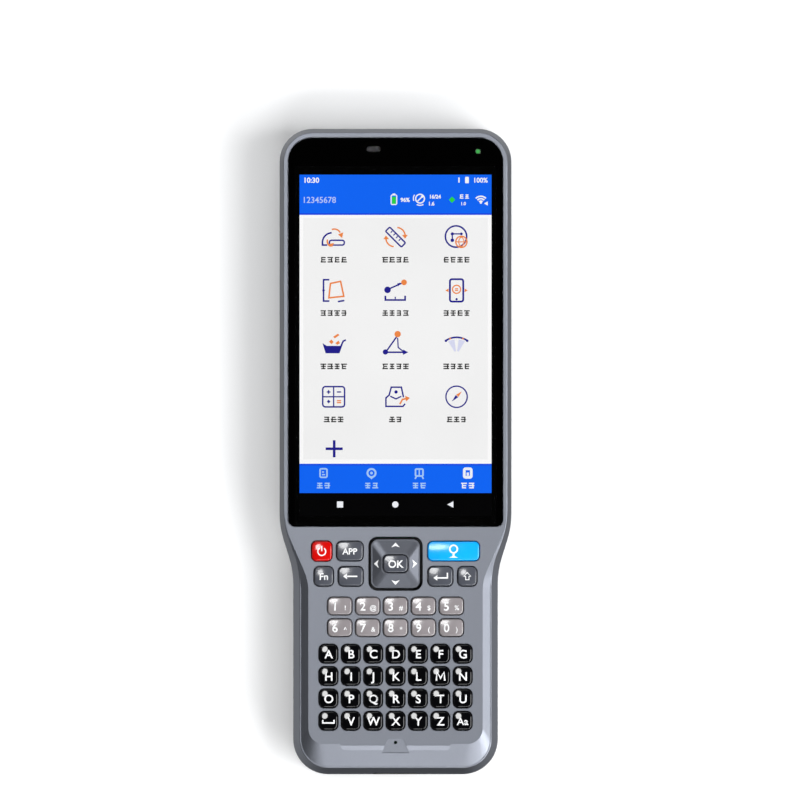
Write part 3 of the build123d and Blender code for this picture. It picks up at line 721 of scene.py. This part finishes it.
def make_border():
    """The black print under the glass, round the lit area; the two windows in its top are separate
    pieces, made in make_windows.
    """
    low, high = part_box("touch_glass")
    margin, gap = 0.12 * MM, 0.02 * MM
    width = (high[0] - low[0]) - 2 * margin
    height = (high[1] - low[1]) - 2 * margin
    middle_x, middle_y = (low[0] + high[0]) / 2, (low[1] + high[1]) / 2
    outer = rounded(middle_x, middle_y, width, height, 8.5 * MM, 10, foot_corner=2.4 * MM)
    half = SCREEN_WIDTH / 2
    bottom = SCREEN_TOP - SCREEN_HEIGHT
    inner = [(-half, bottom), (half, bottom), (half, SCREEN_TOP), (-half, SCREEN_TOP)]
    border = Drawing(1.0)
    edges = []
    for loop in (outer, inner):
        ring = [border.mesh.verts.new((x, y, 0)) for x, y in loop]
        edges += [border.mesh.edges.new((a, b)) for a, b in zip(ring, ring[1:] + ring[:1])]
    bmesh.ops.triangle_fill(border.mesh, edges=edges, use_beauty=True)
    top = low[2] - gap
    border.raised("glass_border_print", BORDER, CASING, "display", top - LAYER, top)


# Heights from the glass's underside.
PRINT_LOW, PRINT_HIGH, LAMP_HIGH = -0.018 * MM, -0.006 * MM, -0.004 * MM
LAMP_PLACE = (29.4, 107.1)


def make_windows():
    """The status light and the light sensor, seen through the top of the glass."""
    under_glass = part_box("touch_glass")[0][2]
    lamp = Drawing().disc(*LAMP_PLACE, 0.72)
    green = make_lit("status_green", (0.061, 0.451, 0.089), 1.0)
    halo = Drawing().ring(*LAMP_PLACE, 0.9, 0.3)
    dark_green = make_print("lamp_rim", (0.02, 0.05, 0.022), 0.4)
    sensor = Drawing().rectangle(-7.8, 108.0, 5.0, 2.0, 1.0)
    smoke = make_gloss("sensor_smoke", (0.005, 0.005, 0.006), 0.2, 0.0)
    for drawing, name, material, top in (
        (lamp, "status_light", green, LAMP_HIGH),
        (halo, "status_light_rim", dark_green, PRINT_HIGH),
        (sensor, "sensor_window", smoke, PRINT_HIGH),
    ):
        low, high = under_glass + PRINT_LOW, under_glass + top
        drawing.raised(name, material, CASING, "display", low, high)


HEADER_BOTTOM = 72.0
HEADER_EDGE = 3.5
STRIP_BOTTOM = 81.0
PAGE_SIDE, PAGE_FOOT = 7.0, 8.0
TABS_TOP = 542.0
TABS_EDGE = 4.0
TABS_BOTTOM = 597.0
COLUMNS = (64.0, 180.0, 294.5)
ROWS = (117.0, 217.0, 317.0, 416.5)
LABEL_DROP = 42.5
LABEL_MARKS = (4, 4, 4, 4, 4, 4, 4, 4, 4, 3, 2, 3)
TAB_COLUMNS = (45.0, 135.0, 224.5, 315.5)
TAB_ICON_Y, TAB_LABEL_Y, SYSTEM_Y = 559.5, 583.0, 618.5


def picture_fields():
    """The plain fields of colour."""
    Picture().box(0, HEADER_BOTTOM + HEADER_EDGE, SCREEN_UNITS, TABS_TOP).show(
        "screen_white", make_lit("lit_white", (1.0, 1.0, 1.0), 1.05), 0)
    Picture().box(PAGE_SIDE, STRIP_BOTTOM, SCREEN_UNITS - PAGE_SIDE, TABS_TOP - PAGE_FOOT).show(
        "screen_page", make_lit("lit_page", (0.895, 0.895, 0.895)), 1)
    blue = make_lit("lit_blue", BLUE, 1.05)
    Picture().box(0, 0, SCREEN_UNITS, HEADER_BOTTOM).show("screen_header", blue, 0)
    Picture().box(0, HEADER_BOTTOM, SCREEN_UNITS, HEADER_BOTTOM + HEADER_EDGE).show(
        "screen_header_edge", make_lit("lit_deep_blue", (0.01, 0.07, 0.75)), 0)
    Picture().box(0, TABS_TOP, SCREEN_UNITS, TABS_TOP + TABS_EDGE).show(
        "screen_tabs_edge", make_lit("lit_tab_edge", (0.01, 0.09, 0.8)), 0)
    Picture().box(0, TABS_TOP + TABS_EDGE, SCREEN_UNITS, TABS_BOTTOM).show("screen_tabs", blue, 0)
    Picture().box(0, TABS_BOTTOM, SCREEN_UNITS, SCREEN_ROWS).show(
        "screen_nav", make_lit("lit_black", (0.0008, 0.0008, 0.001)), 0)


def picture_status():
    """Clock, levels and link marks in the header."""
    rng = random.Random(4)
    white = make_lit("lit_mark_white", (1.0, 1.0, 1.0), 1.0)
    soft = make_lit("lit_mark_soft", (0.50, 0.62, 1.0), 1.0)
    green = make_lit("lit_mark_green", (0.03, 0.70, 0.06), 1.0)
    marks = Picture()
    marks.words("10:30", 7, 10, 9.8, 0.35, "LEFT")
    marks.words("100%", 353, 10, 9.2, 0.3, "RIGHT")
    marks.rectangle(314, 10, 7, 12, 1.5).rectangle(299, 10, 2.4, 10, 1.0)
    marks.stroke(rounded(177, 47, 10.5, 18, 2.5), 1.6, True).rectangle(177, 36.4, 5, 2.2)
    marks.words("96%", 198, 47, 7.5, 0.35)
    marks.ring(226, 45, 8.2, 1.9)
    marks.stroke([(221.5, 49.5), (230.5, 40.5)], 1.8).disc(230, 41, 2.2)
    marks.stroke(arc(226, 45, 12.5, 60, 120, 6), 1.6).stroke(arc(226, 45, 12.5, 160, 215, 6), 1.6)
    marks.words("16/24", 254, 41, 7, 0.35).words("1.6", 247, 54, 7, 0.35)
    greeked(marks, rng, 309, 41, 2, 8.5, 1.5)
    marks.words("1.0", 307, 54, 6, 0.22)
    for radius in (4.5, 9.0, 13.5):
        marks.stroke(arc(340, 54, radius, 225, 315, 10), 2.2)
    marks.disc(340, 52.5, 2.0).polygon([(346, 54), (353, 50), (353, 58)])
    marks.show("screen_status_marks", white, 2)
    Picture().words("12345678", 5, 47, 11.6, 0.15, "LEFT").show("screen_job_number", soft, 2)
    lamps = Picture().rectangle(177, 48, 7.2, 13.5, 1.0)
    lamps.polygon([(286, 41), (292, 47), (286, 53), (280, 47)])
    lamps.show("screen_green_marks", green, 3)


def icon_helmet(navy, orange, x, y):
    navy.stroke(arc(x - 3, y + 10, 18, 180, 268, 14), 2.6)
    navy.stroke(rounded(x + 6, y + 10.5, 28, 9, 4), 2.4, True)
    navy.stroke([(x - 21, y + 10), (x - 21, y + 15), (x - 12, y + 15)], 2.6)
    orange.stroke(arc(x + 1, y - 2, 13, 250, 330, 12), 2.4)
    orange.stroke(arc(x - 2, y + 8, 10, 110, 200, 12), 2.4)
    orange.polygon([(x + 8, y - 5), (x + 18, y - 9), (x + 16, y + 2)])
    orange.polygon([(x - 9, y + 13), (x - 3, y + 19), (x + 1, y + 11)])


def icon_ruler(navy, orange, x, y):
    turn = math.radians(45)
    cos, sin = math.cos(turn), math.sin(turn)
    outline = rounded(0, 0, 42, 11, 2)
    navy.stroke([(u * cos - v * sin + x, u * sin + v * cos + y) for u, v in outline], 2.4, True)
    for step in (-12, -5, 2, 9):
        cx, cy = x + step * 0.72, y + step * 0.72
        navy.stroke([(cx + 2.6, cy - 2.6), (cx - 0.4, cy + 0.4)], 1.8)
    orange.stroke(arc(x + 2, y - 2, 16, 275, 355, 14), 2.4)
    orange.stroke(arc(x - 2, y + 2, 16, 95, 175, 14), 2.4)
    orange.polygon([(x + 12, y - 4), (x + 23, y - 4), (x + 18, y + 3)])
    orange.polygon([(x - 12, y + 4), (x - 23, y + 4), (x - 18, y - 3)])


def icon_network(navy, orange, x, y):
    navy.ring(x - 1, y - 1, 20, 2.6)
    navy.stroke([(x - 8, y + 5), (x - 8, y - 6), (x + 8, y - 6)], 2.0)
    navy.disc(x - 8, y - 6, 3.0).disc(x - 8, y + 6, 3.4).disc(x + 9, y - 6, 2.6)
    orange.ring(x + 9, y + 9, 10.5, 2.2)
    orange.stroke([(x - 1, y + 9), (x + 19, y + 9)], 1.6)
    orange.stroke(arc(x + 3, y + 9, 11, -62, 62, 10), 1.6)
    orange.stroke(arc(x + 15, y + 9, 11, 118, 242, 10), 1.6)


def icon_area(navy, orange, x, y):
    navy.stroke([(x - 8, y - 20), (x - 19, y - 20), (x - 19, y + 20), (x - 8, y + 20)], 2.6)
    navy.stroke([(x - 21.5, y), (x - 16.5, y)], 2.2)
    navy.stroke([(x + 8, y + 21), (x + 20, y + 19)], 2.6)
    orange.stroke([(x - 6, y - 13), (x + 13, y - 17), (x + 19, y + 11), (x - 9, y + 14)], 2.6, True)


def icon_distance(navy, orange, x, y):
    navy.stroke([(x - 14, y - 2), (x + 13, y - 14)], 2.4)
    navy.disc(x - 15, y - 1, 6.2).polygon([(x + 3, y - 13), (x + 9, y - 14.5), (x + 5, y - 7)])
    navy.stroke([(x - 19, y + 10), (x - 19, y + 18), (x + 18, y + 18), (x + 18, y + 10)], 2.8)
    navy.stroke([(x - 0.5, y + 16), (x - 0.5, y + 12)], 2.0)
    orange.disc(x + 16, y - 15, 5.4)


def icon_view(navy, orange, x, y):
    navy.stroke(rounded(x, y, 25, 42, 4), 3.0, True)
    navy.disc(x, y + 16.5, 2.2)
    orange.ring(x, y - 2, 7.6, 2.0)
    orange.stroke([(x - 3, y - 3), (x + 3, y - 3)], 1.8).stroke([(x - 3, y), (x + 3, y)], 1.8)
    orange.polygon([(x - 21, y), (x - 15, y - 3.5), (x - 15, y + 3.5)])
    orange.polygon([(x + 21, y), (x + 15, y + 3.5), (x + 15, y - 3.5)])


def icon_volume(navy, orange, x, y):
    rim = [(x - 21, y - 1), (x - 13, y + 4), (x + 12, y + 4), (x + 17, y + 1)]
    navy.polygon(rim + [(x + 11, y + 18), (x - 15, y + 18)])
    navy.stroke([(x + 14, y + 4), (x + 18, y - 5), (x + 23, y - 7)], 2.6)
    orange.polygon([(x - 1, y - 13), (x + 8, y - 19), (x + 11, y - 16), (x + 2, y - 10)])
    orange.polygon([(x - 9, y - 4), (x - 4, y - 8), (x, y - 3), (x - 4, y + 1)])
    orange.polygon([(x + 3, y - 1), (x + 9, y - 6), (x + 12, y - 1), (x + 7, y + 2)])


def icon_triangle(navy, orange, x, y):
    navy.stroke([(x - 17, y + 14), (x + 2, y - 13)], 2.4)
    navy.stroke([(x - 17, y + 16), (x + 17, y + 16)], 2.6)
    navy.stroke([(x + 4, y - 11), (x + 5, y + 7), (x + 14, y + 14)], 2.0)
    navy.disc(x - 19, y + 15.5, 5.0).polygon([(x + 14, y + 11), (x + 24, y + 16), (x + 14, y + 21)])
    orange.disc(x + 4, y - 18, 6.0)


def icon_curve(navy, orange, x, y):
    navy.stroke(arc(x, y + 24, 36, 236, 304, 18), 2.8)
    navy.disc(x - 20, y - 5.5, 2.4).disc(x + 20, y - 5.5, 2.4)
    orange.disc(x - 12, y - 9.6, 1.7).disc(x + 12, y - 9.6, 1.7)


def icon_tiles(navy, orange, x, y):
    navy.stroke(rounded(x, y, 41, 38, 5), 2.4, True)
    navy.stroke([(x, y - 18), (x, y + 18)], 2.0).stroke([(x - 19.5, y), (x - 1.2, y)], 2.0)
    navy.stroke([(x + 1.2, y), (x + 19.5, y)], 2.0)
    navy.stroke([(x - 13, y - 9), (x - 6, y - 9)], 2.0)
    navy.stroke([(x - 9.5, y - 12.5), (x - 9.5, y - 10.2)], 2.0)
    navy.stroke([(x - 9.5, y - 7.8), (x - 9.5, y - 5.5)], 2.0)
    navy.stroke([(x + 6, y - 9), (x + 14, y - 9)], 2.0)
    navy.polygon([(x - 13, y + 9), (x - 9.5, y + 5.5), (x - 6, y + 9), (x - 9.5, y + 12.5)])
    for drop in (7.4, 11):
        orange.stroke([(x + 6, y + drop), (x + 14, y + drop)], 2.0)


def icon_send(navy, orange, x, y):
    navy.stroke([(x - 12, y - 3), (x - 8, y - 18), (x + 11, y - 18), (x + 15, y + 1)], 2.4)
    left_side = [(x - 11, y - 4), (x - 18, y + 2), (x - 18, y + 18)]
    navy.stroke(left_side + [(x + 14, y + 18), (x + 18, y + 13)], 2.4)
    navy.stroke([(x - 10, y - 1), (x + 1, y + 4), (x + 11, y - 1)], 2.2).disc(x + 1, y - 9, 3.2)
    orange.stroke([(x + 8, y + 14), (x + 13, y + 5), (x + 22, y + 3)], 2.6)
    orange.polygon([(x + 18, y - 2), (x + 27, y + 2), (x + 20, y + 9)])


def icon_compass(navy, orange, x, y):
    navy.ring(x, y, 20, 2.2)
    navy.polygon([(x - 9, y + 9), (x - 1.5, y - 3.5), (x + 3, y + 1)])
    orange.polygon([(x + 10, y - 10), (x + 3.4, y + 0.4), (x - 1.0, y - 4.0)])


def picture_icons():
    """Twelve app icons in line style, with stand-in labels, and a plus sign."""
    icons = (
        icon_helmet, icon_ruler, icon_network,
        icon_area, icon_distance, icon_view,
        icon_volume, icon_triangle, icon_curve,
        icon_tiles, icon_send, icon_compass,
    )
    navy, orange, labels = Picture(), Picture(), Picture()
    rng = random.Random(7)
    for index, draw in enumerate(icons):
        x, y = COLUMNS[index % 3], ROWS[index // 3]
        draw(navy, orange, x, y)
        greeked(labels, rng, x, y + LABEL_DROP, LABEL_MARKS[index])
    navy.stroke([(49, 514), (81, 514)], 4.2)
    navy.stroke([(65, 498), (65, 511.8)], 4.2).stroke([(65, 516.2), (65, 530)], 4.2)
    navy.show("screen_icons_navy", make_lit("lit_navy", NAVY, 1.0), 2)
    orange.show("screen_icons_orange", make_lit("lit_orange", ORANGE, 1.0), 3)
    labels.show("screen_labels", make_lit("lit_label", (0.02, 0.02, 0.02), 1.0), 2)
    fan = Picture()  # the pale fill of the curve icon
    x, y = COLUMNS[2], ROWS[2]
    fan.polygon([(x - 16, y - 5), (x - 4, y - 8), (x - 1, y + 14), (x - 4, y + 15)])
    fan.polygon([(x + 16, y - 5), (x + 4, y + 15), (x + 1, y + 14), (x + 4, y - 8)])
    fan.show("screen_icon_fan", make_lit("lit_fan", (0.72, 0.74, 0.93), 1.0), 2)


def picture_tabs():
    """Four tabs, the last one chosen, and the three system marks below."""
    rng = random.Random(11)
    idle, chosen = Picture(), Picture()
    x, y = TAB_COLUMNS[0], TAB_ICON_Y
    idle.stroke(rounded(x, y, 13, 16, 2.5), 2.4, True)
    idle.stroke([(x - 3, y + 3), (x + 3, y + 3)], 2.0).stroke([(x - 3, y - 2), (x + 1, y - 2)], 2.0)
    x = TAB_COLUMNS[1]
    idle.ring(x, y, 7.6, 3.0).disc(x, y, 2.6).polygon([(x - 4, y + 8), (x + 4, y + 8), (x, y + 12)])
    x = TAB_COLUMNS[2]
    idle.stroke(rounded(x, y - 1, 14, 13, 2), 2.6, True).stroke([(x, y - 6), (x, y + 4)], 2.0)
    for side in (-1, 1):
        idle.stroke([(x + side * 5.5, y + 7), (x + side * 8, y + 11)], 2.4)
    for x in TAB_COLUMNS[:3]:
        greeked(idle, rng, x, TAB_LABEL_Y, 2, 11.5, 2.5)
    x = TAB_COLUMNS[3]
    chosen.stroke(rounded(x, y, 13, 16, 2.5), 4.2, True).stroke([(x, y - 1), (x, y + 5)], 3.6)
    greeked(chosen, rng, x, TAB_LABEL_Y, 2, 11.5, 2.5)
    chosen.rectangle(76, SYSTEM_Y, 11.5, 11.5, 0.8).disc(179.6, SYSTEM_Y, 5.9)
    chosen.polygon([(277, SYSTEM_Y), (288.5, SYSTEM_Y - 6), (288.5, SYSTEM_Y + 6)])
    idle.show("screen_tabs_idle", make_lit("lit_tab_idle", (0.40, 0.62, 1.0), 1.0), 2)
    chosen.show("screen_tabs_chosen", make_lit("lit_tab_chosen", (0.93, 0.95, 1.0), 1.0), 2)


# ------------------------------------------------------------------ camera parts in the back
def turned(name, profile, material, x, y, base, steps=48):
    """A turned piece about a vertical axis, from its profile over a base, in millimetres."""
    mesh = bmesh.new()
    rings = []
    for radius, rise in profile:
        circle = arc(x, y, radius, 0, 360, steps)[:-1]
        rings.append([mesh.verts.new((px * MM, py * MM, (base + rise) * MM)) for px, py in circle])
    for low, high in zip(rings, rings[1:]):
        for i in range(steps):
            j = (i + 1) % steps
            mesh.faces.new((low[i], low[j], high[j], high[i]))
    mesh.faces.new(rings[0][::-1])
    mesh.faces.new(rings[-1])
    bmesh.ops.recalc_face_normals(mesh, faces=mesh.faces)
    data = bpy.data.meshes.new(name)
    mesh.to_mesh(data)
    mesh.free()
    data.materials.append(material)
    data.shade_smooth()
    data.set_sharp_from_angle(angle=SHARP_ANGLE)
    piece = bpy.data.objects.new(name, data)
    bpy.context.scene.collection.objects.link(piece)
    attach(piece, CASING)


LENS_OFFSET = 4.5
# Profiles of radius, and of height over the window's inner face.
BARREL = ((2.6, 0.1), (2.6, 1.1), (1.2, 1.1), (1.35, 0.55), (1.9, 0.35), (2.1, 0.1))
LENS = ((0.3, 0.38), (0.9, 0.46), (1.3, 0.62), (1.15, 1.0))
CAMERA_LAMP = ((0.5, 0.25), (1.2, 0.32), (1.25, 0.7))


def make_back_details():
    """The camera's lens and lamp behind the rear window."""
    x, y = middle_of("camera_window")
    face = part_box("camera_window")[1][2] / MM
    barrel = make_metal("lens_barrel_black", (0.05, 0.05, 0.055), 0.35)
    lens = make_gloss("lens_coated", (0.01, 0.008, 0.03), 0.05, 1.0, 0.8)
    lamp = make_gloss("lamp_phosphor", (0.75, 0.6, 0.16), 0.3, 0.3)
    turned("lens_barrel", BARREL, barrel, x - LENS_OFFSET, y, face)
    turned("lens_glass", LENS, lens, x - LENS_OFFSET, y, face)
    turned("camera_lamp", CAMERA_LAMP, lamp, x + LENS_OFFSET, y, face)


# ------------------------------------------------------------------ the whole scene
bpy.context.scene.view_settings.view_transform = "Standard"
make_camera()
make_studio()
dress_all()
letter_legends()
number_legends()
command_legends()
rocker_legends()
make_border()
make_windows()
picture_fields()
picture_status()
picture_icons()
picture_tabs()
make_back_details()
